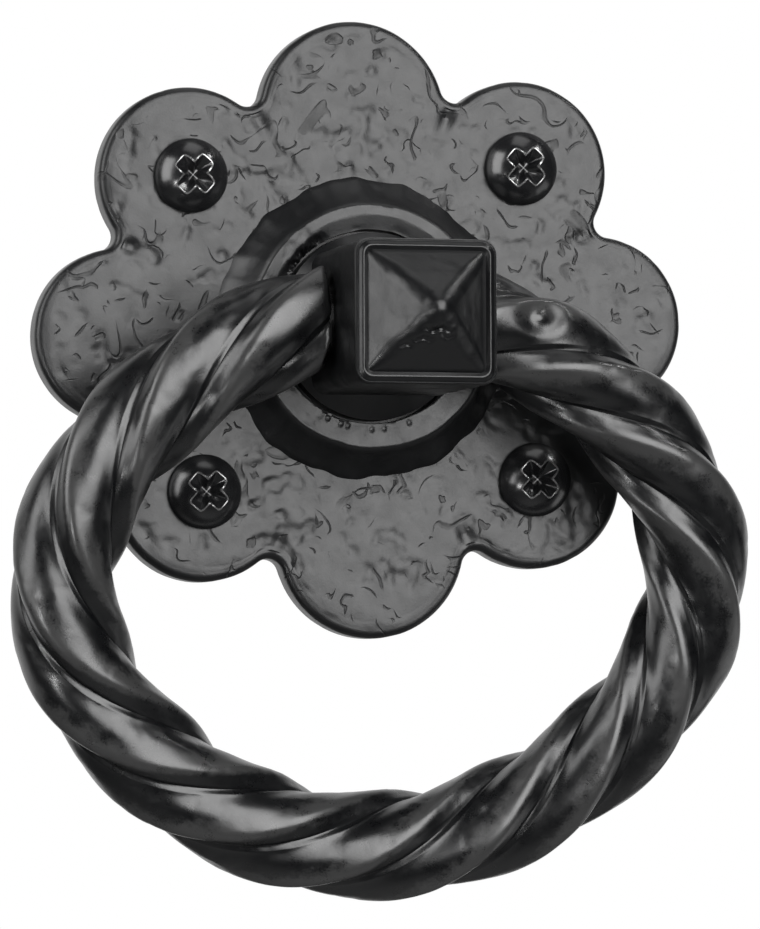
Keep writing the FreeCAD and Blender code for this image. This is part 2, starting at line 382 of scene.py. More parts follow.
def lobeOutline(shape):
    # Arcs of the lobes joined by a small arc in each notch.
    count = shape["lobes"]
    circles = []
    for lobe in range(count):
        tip = onOval(shape["halfWidth"], shape["halfHeight"], lobe * fullTurn / count)
        circles.append(circleThrough(notchPoint(shape, lobe - 0.5), tip, notchPoint(shape, lobe + 0.5)))
    small = shape["notchRound"]
    fills = [circleMeet(circles[k], circles[(k + 1) % count], small) for k in range(count)]
    points = []

    def sweep(centre, radius, first, last, number, way):
        start = math.atan2(first[1] - centre[1], first[0] - centre[0])
        span = (way * (math.atan2(last[1] - centre[1], last[0] - centre[0]) - start)) % fullTurn
        for k in range(number):
            turn = start + way * span * k / number
            points.append((centre[0] + radius * math.cos(turn), centre[1] + radius * math.sin(turn)))

    for k, (centre, radius) in enumerate(circles):
        sweep(centre, radius, fills[k - 1], fills[k], shape["perLobe"], 1)
        sweep(fills[k], small, centre, circles[(k + 1) % count][0], shape["perNotch"], -1)
    return points


def wobble(turn, seed):
    # A small uneven line round a casting, about -1 to 1.
    waves = ((2, 0.26), (5, 0.26), (11, 0.24), (19, 0.16), (37, 0.08))
    return sum(size * math.sin(n * turn + seed * n * n) for n, size in waves)


def makeRose(shape):
    outline = lobeOutline(shape)
    count = len(outline)
    inward = []
    for k in range(count):
        before, after = outline[k - 1], outline[(k + 1) % count]
        dx, dz = after[0] - before[0], after[1] - before[1]
        size = math.hypot(dx, dz)
        inward.append((-dz / size, dx / size))
    turns = [math.atan2(z, x) for x, z in outline]
    notches = [notchPoint(shape, k + 0.5) for k in range(shape["lobes"])]
    thick, press = shape["thickness"], shape["press"]
    top = thick + shape["collarHeight"]
    rings, relief = [], []

    def pocket(x, z):
        # Depth of the small hollow just inside the nearest notch.
        nx, nz = min(notches, key=lambda n: math.hypot(n[0] - x, n[1] - z))
        size = math.hypot(nx, nz)
        along = ((nx - x) * nx + (nz - z) * nz) / size
        across = ((nz - z) * nx - (nx - x) * nz) / size
        fade = max(0.0, 1.0 - abs(along) / shape["pocketLength"])
        return shape["pocketDepth"] * fade * fade * math.exp(-(across / shape["pocketWidth"]) ** 2)

    def chip(turn, r):
        # A jagged break in the lip at the upper left.
        off = (math.degrees(turn) - shape["chipAt"] + 180.0) % 360.0 - 180.0
        spot = Vector((r * math.cos(turn), r * math.sin(turn), 0.5))
        jag = shape["chipMean"]
        for scale, size in shape["chipNoise"]:
            jag += size * noise.noise(spot * scale)
        return shape["chipDepth"] * max(0.0, jag) * math.exp(-(off / shape["chipSpan"]) ** 4)

    def pitted(r, turn):
        # Small blow holes along the lip's lower edge.
        near = min(math.hypot(r * math.radians(math.degrees(turn) - at), r - shape["pitAt"])
                   for at in shape["pits"])
        return shape["pitDepth"] * math.exp(-(near / shape["pitRadius"]) ** 4)

    def add(points, weight):
        # Points are x, height above the door and z.
        rings.append([(x * mm, -height * mm, z * mm) for x, height, z in points])
        relief.append(weight)

    def inset(distance, height, weight):
        add([(x + nx * distance, height, z + nz * distance)
             for (x, z), (nx, nz) in zip(outline, inward)], weight)

    def polar(place, weight):
        points = []
        for turn in turns:
            r, height = place(turn)
            points.append((r * math.cos(turn), height, r * math.sin(turn)))
        add(points, weight)

    def circle(radius, height, weight, uneven=0.0):
        polar(lambda turn: (radius + uneven * wobble(turn, 1.0), height), weight)

    def lipEdge(turn):
        edge = shape["lip"] + shape["lipShift"] * math.sin(turn)
        return edge + shape["chipPull"] * chip(turn, shape["lip"])

    def lip(share):
        # Wide and flat below, narrow with a falling inner edge above.
        def place(turn):
            up = (1.0 + math.sin(turn)) / 2.0
            start = lipEdge(turn)
            r = start + (shape["mouth"] - start) * share + shape["lipUneven"] * wobble(turn, 3.0)
            broken = min(1.0, max(0.0, shape["chipRise"] * (share - shape["chipFrom"]))) * chip(turn, r)
            fall = (shape["lipFall"] + shape["lipDrop"] * up) * share
            return r, top - fall - broken - pitted(r, turn)
        polar(place, press["lip"])

    def flat(share):
        def place(turn):
            start = shape["collarTop"] - shape["topEase"]
            r = start + (lipEdge(turn) - start) * share + shape["topUneven"] * wobble(turn, 1.0)
            return r, top - pitted(r, turn)
        polar(place, press["top"])

    def plate(share):
        points = []
        for (x, z), (nx, nz), turn in zip(outline, inward, turns):
            edgeX, edgeZ = x + nx * shape["edge"], z + nz * shape["edge"]
            r = shape["collarBase"] + shape["baseUneven"] * wobble(turn, 1.0)
            px = edgeX + (r * math.cos(turn) - edgeX) * share
            pz = edgeZ + (r * math.sin(turn) - edgeZ) * share
            drop = pocket(px, pz) + shape["edgeDrop"] * math.exp(-math.hypot(px - edgeX, pz - edgeZ))
            points.append((px, thick - drop, pz))
        add(points, press["plate"] if share > shape["borderShare"] else press["border"])

    def shares(number, first=1):
        return [k / number for k in range(first, number + 1)]

    # From the back edge over the front to the mouth
    for height in shape["sides"]:
        inset(0.0, height, press["side"])
    for share in shares(shape["edgeSteps"], 0):
        turn = share * math.pi / 2.0
        drop = shape["edgeDrop"] + shape["edge"] * (1.0 - math.sin(turn))
        inset(shape["edge"] * (1.0 - math.cos(turn)), thick - drop, press["edge"])
    for share in shares(shape["plateRings"]):
        plate(share)
    for share in shares(shape["flankRings"]):
        radius = shape["collarBase"] + (shape["collarTop"] + shape["shoulder"] - shape["collarBase"]) * share
        radius -= shape["flankHollow"] * math.sin(math.pi * share)
        uneven = shape["baseUneven"] * (1.0 - share) + shape["topUneven"]
        height = thick + (shape["collarHeight"] - shape["shoulderDrop"]) * share
        circle(radius, height, press["flank"], uneven)
    circle(shape["collarTop"], top - shape["shoulderEase"], press["shoulder"], shape["topUneven"])
    for share in shares(shape["topRings"], 0):
        flat(share)
    for share in shares(shape["lipRings"]):
        lip(share)

    # Down the mouth, through the bore and out over the back
    for depth in shape["mouthSides"]:
        circle(shape["mouth"], top - depth, press["back"])
    for radius in (shape["mouth"], shape["between"], shape["bore"]):
        circle(radius, top - shape["mouthDepth"], press["back"])
    for radius in (shape["bore"], shape["between"], shape["recess"]):
        circle(radius, shape["recessDepth"], press["back"])
    circle(shape["recess"], 0.0, press["back"])
    for share in shape["backShares"]:
        points = []
        for (x, z), turn in zip(outline, turns):
            rx, rz = onOval(shape["recess"], shape["recess"], turn)
            points.append((rx + (x - rx) * share, 0.0, rz + (z - rz) * share))
        add(points, press["back"])
    return skinRings("roseCasting", rings, relief, True)


rosePiece = makeRose(rose)
rosePaint = paintMaterial({
    "name": "roseBlackPaint", "seed": 1.0, "grainSize": 0.3, "grainDepth": 0.014, "shine": 0.5,
    # size, width and gate of each set of strokes
    "creases": ((7.0, 0.22, 0.455), (3.6, 0.15, 0.48)), "thinOut": 3.0, "clear": 20.0, "front": 2.2,
    # The strokes' darker colour is painted shade in the creases
    "creaseDepth": 0.07, "creaseShadeShare": 0.3, "creaseRough": 0.12, "creasePaintedShade": (0.002, 0.002, 0.002, 1),
    "paintDark": (0.0045, 0.0047, 0.0052, 1), "paintLight": (0.0075, 0.0077, 0.0082, 1),
    "smooth": 0.33, "rough": 0.42})
grow(rosePiece, skinnedTree("roseSkin", rose["skin"]), {"Material": rosePaint})
tidyMesh(rosePiece.data, rose["sharpAngle"])
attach(rosePiece, "rose")
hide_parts("rose")
print("rose made")


# Boss: round neck, square head with a bead round its face and a worn pyramid; the lighter paint on the face's
# edges, the bead and the apex is partly rubbed paint, partly painted highlight

boss = {
    "around": 256, "shank": 6.0, "shankEnd": 0.5, "shankEase": 0.3,
    "neck": 12.65, "neckSeat": 6.0, "seatMiddle": 9.5, "neckEase": 0.2,
    "neckStep": 9.1, "neckTop": 8.7, "neckRings": 8, "stepEase": 0.3,
    "headBack": 13.0, "headFront": 37.3, "headEase": 0.3, "half": 9.5, "corner": 2.0, "sideRings": 40,
    "pyramidHalf": 7.9, "pyramidRings": 70, "apex": 44.0,
    "tipRound": 2.0, "footRound": 0.8, "ridgeRound": 2.0, "ridgeRise": 4.0, "roundest": 0.95,
    "wearAndSheenFrom": 0.7, "wearAndSheenRise": 1.3,
    # x, z, half-length, half-height and depth of the dents below the apex, and how far they wander
    "dents": ((0.3, -2.7, 1.8, 0.34, 0.6), (-1.6, -3.9, 1.5, 0.32, 0.4),
              (-3.6, -4.6, 0.9, 0.34, 0.35), (1.6, -3.5, 0.9, 0.34, 0.35)),
    "dentSway": 0.15, "dentWaves": 3.0,
    # inset, drop and wear-and-sheen share of each line round the front; the lighter paint there is partly
    # rubbed paint, partly a painted highlight on the edges and bead
    "frame": ((0.0, 1.0, 0.2), (0.05, 0.66, 0.3), (0.15, 0.47, 0.35), (0.28, 0.42, 0.2), (0.36, 0.46, 0.0),
              (0.42, 0.44, 0.1), (0.6, 0.30, 0.4), (0.8, 0.13, 0.5), (0.96, 0.02, 0.4), (1.08, 0.0, 0.2),
              (1.2, 0.05, 0.0), (1.4, 0.17, 0.0), (1.6, 0.29, 0.0)), "frameFollow": 0.75,
    "skin": {"Lump Size": 5.0 * mm, "Lump Depth": 0.16 * mm,
             "Dent Size": 2.2 * mm, "Dent Depth": 0.05 * mm, "Seed": 5.0},
    # how much of the skin each zone takes
    "press": {"shank": 0.0, "neck": 0.2, "cone": 0.5, "headBack": 0.2, "headEdge": 0.4, "side": 0.8,
              "frame": 0.5, "pyramid": 0.5},
    "sharpAngle": 35.0, "turn": 2.45,
}


def squareRadius(half, corner, turn):
    # Distance from the centre to a rounded square's side in this direction.
    c, s = abs(math.cos(turn)), abs(math.sin(turn))
    big, small = max(c, s), min(c, s)
    flat = half - corner
    if half / big * small <= flat:
        return half / big
    along = flat * (big + small)
    return along + math.sqrt(max(along * along - 2.0 * flat * flat + corner * corner, 0.0))


def makeBoss(shape):
    press = shape["press"]
    rings, relief, wear = [], [], []

    def dented(x, z):
        deep = 0.0
        for dx, dz, wide, tall, depth in shape["dents"]:
            across = (z - dz - shape["dentSway"] * math.sin(shape["dentWaves"] * x)) / tall
            deep += depth * math.exp(-((x - dx) / wide) ** 4 - across ** 2)
        return deep

    def ring(half, corner, height, weight, worn=0.0):
        made = []
        for k in range(shape["around"]):
            turn = fullTurn * k / shape["around"]
            r = squareRadius(half, min(corner, half), turn)
            x, z = r * math.cos(turn), r * math.sin(turn)
            made.append((x * mm, -(height - dented(x, z) * (height > shape["headFront"])) * mm, z * mm))
        rings.append(made)
        relief.append(weight)
        wear.append(worn)

    def disc(radius, height, zone="shank"):
        ring(radius, radius, height, press[zone])

    shank, end, neck, seat = shape["shank"], shape["shankEnd"], shape["neck"], shape["neckSeat"]
    disc(shank / 3.0, end)
    disc(shank - shape["shankEase"], end)
    disc(shank, end + shape["shankEase"])
    disc(shank, seat)
    disc(shape["seatMiddle"], seat)
    disc(neck - shape["neckEase"], seat)
    disc(neck, seat + shape["neckEase"])
    disc(neck, shape["neckStep"] - shape["stepEase"], "neck")
    half, corner, back, front = shape["half"], shape["corner"], shape["headBack"], shape["headFront"]
    for k in range(shape["neckRings"] + 1):
        share = k / shape["neckRings"]
        disc(neck + (shape["neckTop"] - neck) * share,
             shape["neckStep"] + (back - shape["neckStep"]) * share, "cone")
    ease, sides = shape["headEase"], shape["sideRings"]
    ring(half - ease, corner - ease, back, press["headBack"])
    ring(half, corner, back + ease, press["headEdge"])
    length = front - back - ease - shape["frame"][0][1]
    for k in range(1, sides):
        ring(half, corner, back + ease + length * k / sides, press["side"])
    # A rounded edge, a raised bead round the face and a groove at the pyramid's foot
    for inset, drop, worn in shape["frame"]:
        ring(half - inset, corner - shape["frameFollow"] * inset, front - drop, press["frame"], worn)
    # The pyramid swells a little and ends in a round tip
    foot = front - shape["frame"][-1][1]
    tip = shape["tipRound"]
    slope = (shape["apex"] - foot) / (math.hypot(shape["pyramidHalf"], tip) - tip)
    for k in range(1, shape["pyramidRings"]):
        share = k / shape["pyramidRings"]
        side = shape["pyramidHalf"] * (1.0 - share)
        fall = slope * (math.hypot(side, tip) - tip)
        grown = min(1.0, shape["ridgeRise"] * share)
        soft = shape["footRound"] + (shape["ridgeRound"] - shape["footRound"]) * grown
        weight = press["pyramid"] + (1.0 - press["pyramid"]) * share
        # Lighter paint towards the apex: rubbed paint with a painted highlight on it
        worn = max(0.0, share - shape["wearAndSheenFrom"]) * shape["wearAndSheenRise"]
        ring(side, min(soft, side * shape["roundest"]), shape["apex"] - fall, weight, worn)
    return skinRings("bossCasting", rings, relief, False, wear)


bossTurn = Matrix.Rotation(math.radians(boss["turn"]), 4, "Y")
bossPiece = makeBoss(boss)
bossPaint = paintMaterial({
    "name": "bossBlackPaint", "seed": 4.0, "grainSize": 0.3, "grainDepth": 0.008, "wear": 0.55, "shine": 0.5,
    "paintDark": (0.0020, 0.0022, 0.0026, 1), "paintLight": (0.0036, 0.0038, 0.0043, 1),
    "worn": (0.09, 0.09, 0.09, 1), "smooth": 0.29, "rough": 0.38})
grow(bossPiece, skinnedTree("bossSkin", boss["skin"]), {"Material": bossPaint})
bossPiece.data.transform(bossTurn)
tidyMesh(bossPiece.data, boss["sharpAngle"])
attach(bossPiece, "boss")
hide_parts("boss")
print("boss made")


# Ring: a four-cornered bar twisted along an oval, cut flat at the boss and hung on two pins

ring = {
    "Half Width": 43.3 * mm, "Half Height": 35.9 * mm, "Draw In": 0.031,
    "Corner Radius": 7.6 * mm, "Flute Radius": 6.15 * mm, "Corner Sharpness": 1.5,
    "Turns": 3.49, "Start": -4.6, "Ridge Lean": 0.6,
    "Crease Depth": 0.40 * mm, "Crease Offset": 0.49, "Crease Width": 0.10,
    "Walk Points": 721, "Stations": 760, "Points Round": 120, "Pivot Height": 20.9 * mm,
    "overrun": 3.0 * mm, "endAt": 10.0 * mm, "endZone": -20.0 * mm, "doorGap": 0.3 * mm,
    "easeLength": 1.2 * mm, "easeShare": 0.08, "ragged": 0.5 * mm, "raggedScale": 450.0,
    "pinRadius": 4.5 * mm, "pinTip": 1.5 * mm, "pinInside": 1.5 * mm, "pinSides": 48,
    "hollowAt": (18.5 * mm, -27.5 * mm, -0.5 * mm), "hollowLong": 3.2 * mm, "hollowTall": 2.3 * mm,
    "hollowDepth": 0.8 * mm, "hollowReach": 4.0 * mm, "hollowLimit": 4.0, "spotHeight": 0.55, "spotFall": 7.0,
    "skin": {"Lump Size": 12.0 * mm, "Lump Depth": 0.22 * mm,
             "Dent Size": 3.0 * mm, "Dent Depth": 0.07 * mm, "Seed": 9.0},
    "sharpAngle": 50.0,
}


def ovalPoint(shape, angle):
    share = 1.0 - shape["Draw In"] * math.sin(2.0 * angle) ** 2
    return shape["Half Width"] * share * math.sin(angle), -shape["Half Height"] * share * math.cos(angle)


def ovalAngle(shape, x):
    # Where the oval's upper right comes back in to this x.
    low, high = 0.75 * math.pi, math.pi
    for k in range(50):
        middle = (low + high) / 2.0
        low, high = (middle, high) if ovalPoint(shape, middle)[0] > x else (low, middle)
    return low


ring["End Angle"] = ovalAngle(ring, ring["endAt"] - ring["overrun"])
ring["Centre Drop"] = ovalPoint(ring, ovalAngle(ring, ring["endAt"]))[1]
ringFall = ring["Pivot Height"] - ring["Corner Radius"] - ring["doorGap"]
ring["Lean"] = math.degrees(math.asin(ringFall / (ring["Centre Drop"] + ring["Half Height"])))


def ringTree(skin):
    sizes = ["Half Width", "Half Height", "Draw In", "End Angle", "Centre Drop",
             "Corner Radius", "Flute Radius", "Corner Sharpness", "Turns", "Start", "Ridge Lean",
             "Crease Depth", "Crease Offset", "Crease Width", "Lean", "Pivot Height"]
    inputs = {"Float": sizes, "Int": ["Walk Points", "Stations", "Points Round"], "Material": ["Material"]}
    tree, give, take = newGeometryTree("twistedRing", inputs)

    def times(*values):
        product = values[0]
        for value in values[1:]:
            product = calc(tree, "MULTIPLY", product, value)
        return product

    def moved(geometry, **ins):
        return put(tree, "GeometryNodeSetPosition", dict(ins, Geometry=geometry))

    def named(geometry, name, value):
        ins = {"Geometry": geometry, "Name": name, "Value": value}
        return put(tree, "GeometryNodeStoreNamedAttribute", ins, data_type="FLOAT", domain="POINT")

    # The oval, walked from one end to the other by angle and then spaced evenly
    share = put(tree, "GeometryNodeSplineParameter", {}, out="Factor")
    line = put(tree, "GeometryNodeCurvePrimitiveLine", {"End": (1.0, 0.0, 0.0)})
    line = put(tree, "GeometryNodeResampleCurve", {"Curve": line, "Count": give["Walk Points"]})
    angle = times(calc(tree, "MULTIPLY_ADD", share, 2.0, -1.0), give["End Angle"])
    wave = calc(tree, "SINE", times(angle, 2.0))
    full = calc(tree, "SUBTRACT", 1.0, times(wave, wave, give["Draw In"]))
    x = times(calc(tree, "SINE", angle), give["Half Width"], full)
    y = times(calc(tree, "COSINE", angle), give["Half Height"], times(full, -1.0))
    oval = moved(line, Position=vector(tree, x, y))
    path = put(tree, "GeometryNodeResampleCurve", {"Curve": oval, "Count": give["Stations"]})
    path = put(tree, "GeometryNodeSetCurveNormal", {"Curve": path}, mode="Z_UP")
    turned = times(calc(tree, "SUBTRACT", share, 0.5), give["Turns"], -fullTurn)
    turned = calc(tree, "ADD", turned, calc(tree, "RADIANS", give["Start"]))
    path = put(tree, "GeometryNodeSetCurveTilt", {"Curve": path, "Tilt": turned})

    # The bar's section: four rounded corners with hollow flutes between them
    ins = {"Resolution": give["Points Round"], "Radius": 1.0}
    circle = put(tree, "GeometryNodeCurvePrimitiveCircle", ins)
    spot = put(tree, "GeometryNodeInputPosition", {})
    parts = split(tree, spot)
    turn = calc(tree, "ARCTAN2", parts["Y"], parts["X"])
    # Each ridge leans over, so one side falls away more steeply
    around = times(turn, 4.0)
    leaning = calc(tree, "SUBTRACT", 1.0, calc(tree, "COSINE", around))
    phase = calc(tree, "MULTIPLY_ADD", leaning, give["Ridge Lean"], around)
    corner = calc(tree, "MULTIPLY_ADD", calc(tree, "COSINE", phase), 0.5, 0.5)
    corner = calc(tree, "POWER", corner, give["Corner Sharpness"])
    rise = calc(tree, "SUBTRACT", give["Corner Radius"], give["Flute Radius"])
    radius = calc(tree, "MULTIPLY_ADD", corner, rise, give["Flute Radius"])
    # A narrow crease beside each corner
    beside = calc(tree, "SUBTRACT", turn, give["Crease Offset"])
    beside = calc(tree, "ABSOLUTE", calc(tree, "WRAP", beside, math.pi / 4.0, -math.pi / 4.0))
    crease = remap(tree, beside, 0.0, give["Crease Width"], 1.0, 0.0)
    radius = calc(tree, "SUBTRACT", radius, times(crease, give["Crease Depth"]))
    # Each ridge gets the wear-and-sheen share: lighter paint along the ridges, partly rubbed paint and partly
    # painted highlight
    section = moved(named(circle, "wear", corner), Position=scaled(tree, spot, radius))
    ins = {"Curve": path, "Profile Curve": section, "Fill Caps": True}
    bar = named(put(tree, "GeometryNodeCurveToMesh", ins), "relief", 1.0)

    # Hung from the pivot and leaning back to the door
    drop = vector(tree, y=times(give["Centre Drop"], -1.0))
    bar = put(tree, "GeometryNodeTransform", {"Geometry": bar, "Translation": drop})
    swung = vector(tree, calc(tree, "RADIANS", calc(tree, "ADD", give["Lean"], 90.0)))
    out = vector(tree, y=times(give["Pivot Height"], -1.0))
    bar = put(tree, "GeometryNodeTransform", {"Geometry": bar, "Translation": out, "Rotation": swung})
    return dress(tree, putSkin(tree, bar, skin), give, take)


def pressHollow(mesh, shape):
    # A cast hollow with a raised spot in it, beside the boss on the right.
    middle = Vector(shape["hollowAt"])
    for v in mesh.vertices:
        off = v.co - middle
        far = (off.x / shape["hollowLong"]) ** 2 + (off.z / shape["hollowTall"]) ** 2
        if far < shape["hollowLimit"] and off.y < shape["hollowReach"]:
            spot = shape["spotHeight"] * math.exp(-far * shape["spotFall"])
            v.co.y += shape["hollowDepth"] * (math.exp(-far * far) - spot)


def cutEnds(mesh, shape):
    # Cuts the bar flat beside the boss, eases the cut's edge, closes it and adds the pivot pins.
    work = bmesh.new()
    work.from_mesh(mesh)
    end, pivot = shape["endAt"], shape["Pivot Height"]
    for side in (-1, 1):
        def atEnd(place):
            return place.z > shape["endZone"] and place.x * side > 0

        near = [face for face in work.faces if atEnd(face.calc_center_median())]
        parts = dict.fromkeys(part for face in near for part in (*face.verts, *face.edges, face))
        bmesh.ops.bisect_plane(work, geom=list(parts), plane_co=(side * end, 0, 0),
                               plane_no=(-side, 0, 0), clear_outer=True)
        for v in work.verts:
            t = 1.0 - (v.co.x * side - end) / shape["easeLength"]
            if atEnd(v.co) and t > 0:
                v.co.x += side * t * shape["ragged"] * (0.5 + noise.noise(v.co * shape["raggedScale"]))
                ease = 1.0 - shape["easeShare"] * t * t
                v.co.y = -pivot + (v.co.y + pivot) * ease
                v.co.z *= ease
        rim = [e for e in work.edges if e.is_boundary and e.verts[0].co.x * side > 0]
        bmesh.ops.edgeloop_fill(work, edges=rim)
        length = end + shape["pinInside"] - shape["pinTip"]
        place = Matrix.Translation((side * (shape["pinTip"] + length / 2), -pivot, 0))
        bmesh.ops.create_cone(work, cap_ends=True, segments=shape["pinSides"],
                              radius1=shape["pinRadius"], radius2=shape["pinRadius"], depth=length,
                              matrix=place @ Matrix.Rotation(math.pi / 2, 4, "Y"))
    work.to_mesh(mesh)
    work.free()
    mesh.transform(bossTurn)


ringPaint = paintMaterial({
    "name": "ringBlackPaint", "seed": 7.0, "grainSize": 0.3, "grainDepth": 0.012, "wear": 0.8, "shine": 0.7,
    # Darker than the rose's paint: painted shade deepening the ring's flutes
    "paintDark": (0.0010, 0.0012, 0.0016, 1), "paintLight": (0.0022, 0.0024, 0.0029, 1),
    # The lighter colour on the ridges is partly rubbed paint, partly painted highlight
    "worn": (0.040, 0.040, 0.040, 1), "smooth": 0.26, "rough": 0.36})
ringPiece = addPiece("twistedRing", bpy.data.meshes.new("twistedRing"))
grow(ringPiece, ringTree(ring["skin"]), treeValues(ring, ringPaint))
cutEnds(ringPiece.data, ring)
pressHollow(ringPiece.data, ring)
tidyMesh(ringPiece.data, ring["sharpAngle"])
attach(ringPiece, "ring")
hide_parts("ring")
print("ring made")


# Screws: dome heads with a cross recess and a wood thread, one pattern set out four times

screw = {
    "around": 96, "head": 5.0, "rim": 0.6, "height": 3.6, "seat": 4.0, "seatLift": 0.01,
    "shank": 2.5, "ease": 0.1,
    "crest": 2.4, "root": 1.7, "tooth": 0.34, "pitch": 2.1, "perPitch": 10, "below": 21.0, "point": 5.0,
    "tipGap": 0.1, "tipShare": 0.05, "threadTop": 0.4, "runOut": 1.2,
    "domeRings": (4.92, 4.75, 4.5, 4.2, 3.9, 3.6, 3.3), "rimShares": (0.35, 0.65, 0.85, 0.95, 1.0),
    "armLength": 2.7, "armHalf": 1.0, "armEase": 0.2,
    "recessDepth": 2.1, "recessFrom": 2.0, "recessEnd": 0.12, "endWear": 0.6, "armFollow": 2.2, "least": 0.1,
    # widening, drop and wear-and-sheen share of each line down the recess; the light outline round the recess
    # is partly driver wear, partly painted highlight
    "recess": ((0.03, 0.06, 1.0), (-0.02, 0.2, 0.3), (-0.3, 0.8, 0.0), (-0.6, 1.4, 0.0), (-0.84, 1.9, 0.0)),
    "Spread X": 46.0 * mm, "Spread Z": 42.4 * mm, "Spin": 0.07, "Seed": 3, "sharpAngle": 40.0,
}


def crossRadius(length, half, turn, power=8.0):
    # Outline of a cross with arms on the diagonals and soft inner corners.
    t = (turn - math.pi / 4.0) % (math.pi / 2.0)
    t = min(t, math.pi / 2.0 - t)
    arm = length / math.cos(t)
    side = half / max(math.sin(t), 1e-6)
    return (arm ** -power + side ** -power) ** (-1.0 / power)


def makeScrew(shape):
    rings, relief, wear = [], [], []
    turns = [fullTurn * k / shape["around"] for k in range(shape["around"])]
    seat, end = shape["seat"], shape["below"]

    def ring(radius, height, worn=0.0):
        made = []
        for t in turns:
            r = radius(t)
            made.append((r * math.cos(t) * mm, -height(r) * mm, r * math.sin(t) * mm))
        rings.append(made)
        relief.append(0.0)
        wear.append(worn)

    def disc(radius, height, worn=0.0):
        ring(lambda t: radius, lambda r: height, worn)

    # The point and the thread, a ridge that climbs one pitch a turn
    steps = int((end - shape["threadTop"]) / shape["pitch"] * shape["perPitch"])
    for k in range(steps + 1):
        down = end - shape["tipGap"] - (end - shape["tipGap"] - shape["threadTop"]) * k / steps
        taper = min((end - down) / shape["point"] + shape["tipShare"], 1.0)
        rise = (shape["crest"] - shape["root"]) * min(1.0, down / shape["runOut"])

        def thread(t):
            phase = (down / shape["pitch"] + t / fullTurn) % 1.0
            return (shape["root"] + rise * max(0.0, 1.0 - abs(phase - 0.5) / shape["tooth"])) * taper
        ring(thread, lambda r: -down)

    ease, shank, head = shape["ease"], shape["shank"], shape["head"]
    disc(shape["crest"] - 2.0 * ease, -2.0 * ease)
    disc(shank, ease / 2.0)
    disc(shank, seat)
    disc(head - ease, seat + shape["seatLift"])
    disc(head, seat + ease)
    disc(head, seat + shape["rim"] - ease / 2.0)
    cap = shape["height"] - shape["rim"]
    ball = (head ** 2 + cap ** 2) / (2.0 * cap)

    def dome(r):
        return seat + shape["height"] - ball + math.sqrt(ball * ball - r * r)

    for r in shape["domeRings"]:
        disc(r, dome(r))
    inner = shape["domeRings"][-1]
    for share in shape["rimShares"]:
        def rim(t):
            cross = crossRadius(shape["armLength"] + shape["armEase"], shape["armHalf"] + shape["armEase"], t)
            return inner + (cross - inner) * share
        # The rim of the recess gets the full share: a painted highlight along its edge, with some driver wear
        ring(rim, dome, share == 1.0)
    for widen, drop, worn in shape["recess"]:
        def wall(t):
            length = shape["armLength"] + widen * shape["armFollow"]
            return max(crossRadius(length, shape["armHalf"] + widen, t), shape["least"])
        ring(wall, lambda r: min(dome(r), dome(shape["recessFrom"])) - drop, worn)
    # The recess floor gets a painted glint
    disc(shape["recessEnd"], seat + shape["height"] - shape["recessDepth"], shape["endWear"])
    return skinRings("screwPattern", rings, relief, False, wear)


def screwTree(pattern):
    inputs = {"Float": ["Spread X", "Spread Z", "Spin"], "Int": ["Seed"], "Material": ["Material"]}
    tree, give, take = newGeometryTree("fourScrews", inputs)
    ins = {"Size X": give["Spread X"], "Size Y": give["Spread Z"], "Vertices X": 2, "Vertices Y": 2}
    grid = put(tree, "GeometryNodeMeshGrid", ins)
    upright = put(tree, "GeometryNodeTransform", {"Geometry": grid, "Rotation": (math.pi / 2.0, 0.0, 0.0)})
    shown = put(tree, "GeometryNodeObjectInfo", {"Object": pattern}, out="Geometry")
    least = vector(tree, y=calc(tree, "MULTIPLY", give["Spin"], -1.0))
    ins = {"Min": least, "Max": vector(tree, y=give["Spin"]), "Seed": give["Seed"]}
    spin = put(tree, "FunctionNodeRandomValue", ins, data_type="FLOAT_VECTOR")
    ins = {"Points": upright, "Instance": shown, "Rotation": spin}
    return dress(tree, put(tree, "GeometryNodeInstanceOnPoints", ins), give, take)


screwPaint = paintMaterial({
    "name": "screwBlackPaint", "seed": 11.0, "grainSize": 0.22, "grainDepth": 0.002, "wear": 0.9, "bare": 0.9,
    # Lighter than the castings' paint: a painted sheen on the domes
    "paintDark": (0.006, 0.0062, 0.0068, 1), "paintLight": (0.010, 0.0102, 0.0108, 1),
    # Recess edges turn light and metallic: driver wear and painted highlight together
    "worn": (0.40, 0.40, 0.40, 1), "shine": 0.8, "smooth": 0.18, "rough": 0.27})
screwPattern = makeScrew(screw)
screwPiece = addPiece("domeScrews", bpy.data.meshes.new("domeScrews"))
grow(screwPiece, screwTree(screwPattern), treeValues(screw, screwPaint))
bpy.data.objects.remove(screwPattern)
tidyMesh(screwPiece.data, screw["sharpAngle"])
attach(screwPiece, "rose")
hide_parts("screw_upper_left", "screw_upper_right", "screw_lower_left", "screw_lower_right")
print("screws made")


# Washer and clip behind the rose keep their own meshes in bright steel

steel = {
    "name": "zincSteel", "grainScale": 900.0, "detail": 4.0, "grainDepth": 0.004,
    "smooth": 0.28, "rough": 0.45,
    "dark": (0.42, 0.42, 0.41, 1), "light": (0.58, 0.575, 0.56, 1),
}


def steelMaterial(look):
    made, tree, shader = newMaterial(look["name"])
    ins = {"Vector": objectPlace(tree), "Scale": look["grainScale"], "Detail": look["detail"]}
    cloud = put(tree, "ShaderNodeTexNoise", ins)
    bump = put(tree, "ShaderNodeBump", {"Height": cloud, "Distance": look["grainDepth"] * mm})
    rough = remap(tree, cloud, *cloudSpan, look["smooth"], look["rough"])
    tree.links.new(mixColour(tree, cloud, look["dark"], look["light"]), shader.inputs["Base Color"])
    tree.links.new(rough, shader.inputs["Roughness"])
    tree.links.new(bump, shader.inputs["Normal"])
    shader.inputs["Metallic"].default_value = 1.0
    return made


